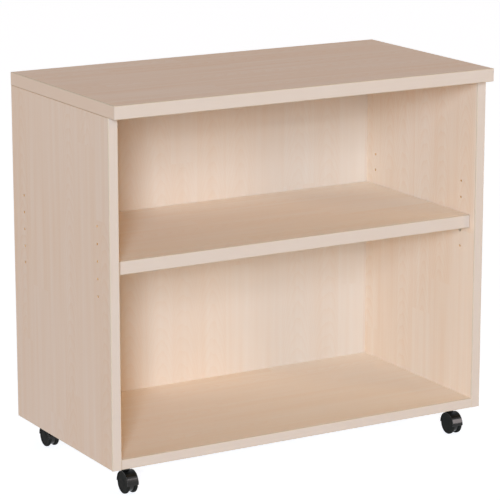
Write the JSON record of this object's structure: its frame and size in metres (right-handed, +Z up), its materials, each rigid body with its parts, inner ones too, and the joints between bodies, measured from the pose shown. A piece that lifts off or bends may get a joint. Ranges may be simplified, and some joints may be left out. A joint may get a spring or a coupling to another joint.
{
  "type": "mobile shelving unit",
  "caption": "Low open shelving unit in pale maple decor with an overhanging top, an adjustable shelf between the sides, a closed back and black twin-wheel castors.",
  "frame": {"origin": "on the floor, under the centre of the top panel", "axes": "+X to the right of someone facing the open front, +Y from the open front to the back, +Z up"},
  "size_m": [0.8, 0.42, 0.722],
  "materials": {
    "maple_board": "maple decor, satin melamine face",
    "maple_back": "maple decor, satin melamine face",
    "maple_edging": "plain cream-maple ABS, fine satin",
    "beech_dowel": "fluted raw beech",
    "nickel_steel": "nickel-plated pressed steel",
    "zinc_steel": "bright zinc plating",
    "spring_steel": "oiled spring steel",
    "black_nylon": "moulded black nylon, semi-gloss",
    "black_wheel": "moulded black nylon, satin"
  },
  "bodies": {
    "carcass": {"top_panel": "maple_board", "top_panel_edging": "maple_edging", "left_side_panel": "maple_board", "left_side_edging": "maple_edging", "right_side_panel": "maple_board", "right_side_edging": "maple_edging", "bottom_panel": "maple_board", "bottom_panel_edging": "maple_edging", "back_panel": "maple_back", "top_dowels": "beech_dowel", "bottom_dowels": "beech_dowel", "kingpin_rings": "spring_steel", "castor_screws": "zinc_steel", "front_left_shelf_support": "nickel_steel", "front_left_castor_plate": "zinc_steel", "front_left_castor_kingpin": "zinc_steel", "rear_left_shelf_support": "nickel_steel", "rear_left_castor_plate": "zinc_steel", "rear_left_castor_kingpin": "zinc_steel", "front_right_shelf_support": "nickel_steel", "front_right_castor_plate": "zinc_steel", "front_right_castor_kingpin": "zinc_steel", "rear_right_shelf_support": "nickel_steel", "rear_right_castor_plate": "zinc_steel", "rear_right_castor_kingpin": "zinc_steel"},
    "shelf": {"shelf_panel": "maple_board", "shelf_edging": "maple_edging"},
    "front_left_castor": {"front_left_castor_hood": "black_nylon", "front_left_castor_axle": "zinc_steel"},
    "front_left_left_wheel": {"front_left_castor_left_wheel": "black_wheel"},
    "front_left_right_wheel": {"front_left_castor_right_wheel": "black_wheel"},
    "rear_left_castor": {"rear_left_castor_hood": "black_nylon", "rear_left_castor_axle": "zinc_steel"},
    "rear_left_left_wheel": {"rear_left_castor_left_wheel": "black_wheel"},
    "rear_left_right_wheel": {"rear_left_castor_right_wheel": "black_wheel"},
    "front_right_castor": {"front_right_castor_hood": "black_nylon", "front_right_castor_axle": "zinc_steel"},
    "front_right_left_wheel": {"front_right_castor_left_wheel": "black_wheel"},
    "front_right_right_wheel": {"front_right_castor_right_wheel": "black_wheel"},
    "rear_right_castor": {"rear_right_castor_hood": "black_nylon", "rear_right_castor_axle": "zinc_steel"},
    "rear_right_left_wheel": {"rear_right_castor_left_wheel": "black_wheel"},
    "rear_right_right_wheel": {"rear_right_castor_right_wheel": "black_wheel"}
  },
  "joints": [
    {"name": "shelf_lift", "type": "slide", "parent": "carcass", "child": "shelf", "axis": [0, 0, 1], "range_m": [0, 0.26]},
    {"name": "front_left_swivel", "type": "hinge", "parent": "carcass", "child": "front_left_castor", "pos_m": [-0.3553, -0.1496, 0.045], "axis": [0, 0, 1], "continuous": true},
    {"name": "front_left_left_wheel_spin", "type": "hinge", "parent": "front_left_castor", "child": "front_left_left_wheel", "pos_m": [-0.3633, -0.1577, 0.0205], "axis": [1, 0, 0], "continuous": true},
    {"name": "front_left_right_wheel_spin", "type": "hinge", "parent": "front_left_castor", "child": "front_left_right_wheel", "pos_m": [-0.3473, -0.1577, 0.0205], "axis": [1, 0, 0], "continuous": true},
    {"name": "rear_left_swivel", "type": "hinge", "parent": "carcass", "child": "rear_left_castor", "pos_m": [-0.3553, 0.1736, 0.045], "axis": [0, 0, 1], "continuous": true},
    {"name": "rear_left_left_wheel_spin", "type": "hinge", "parent": "rear_left_castor", "child": "rear_left_left_wheel", "pos_m": [-0.3633, 0.1655, 0.0205], "axis": [1, 0, 0], "continuous": true},
    {"name": "rear_left_right_wheel_spin", "type": "hinge", "parent": "rear_left_castor", "child": "rear_left_right_wheel", "pos_m": [-0.3473, 0.1655, 0.0205], "axis": [1, 0, 0], "continuous": true},
    {"name": "front_right_swivel", "type": "hinge", "parent": "carcass", "child": "front_right_castor", "pos_m": [0.3553, -0.1496, 0.045], "axis": [0, 0, 1], "continuous": true},
    {"name": "front_right_left_wheel_spin", "type": "hinge", "parent": "front_right_castor", "child": "front_right_left_wheel", "pos_m": [0.3473, -0.1577, 0.0205], "axis": [1, 0, 0], "continuous": true},
    {"name": "front_right_right_wheel_spin", "type": "hinge", "parent": "front_right_castor", "child": "front_right_right_wheel", "pos_m": [0.3633, -0.1577, 0.0205], "axis": [1, 0, 0], "continuous": true},
    {"name": "rear_right_swivel", "type": "hinge", "parent": "carcass", "child": "rear_right_castor", "pos_m": [0.3553, 0.1736, 0.045], "axis": [0, 0, 1], "continuous": true},
    {"name": "rear_right_left_wheel_spin", "type": "hinge", "parent": "rear_right_castor", "child": "rear_right_left_wheel", "pos_m": [0.3473, 0.1655, 0.0205], "axis": [1, 0, 0], "continuous": true},
    {"name": "rear_right_right_wheel_spin", "type": "hinge", "parent": "rear_right_castor", "child": "rear_right_right_wheel", "pos_m": [0.3633, 0.1655, 0.0205], "axis": [1, 0, 0], "continuous": true}
  ]
}
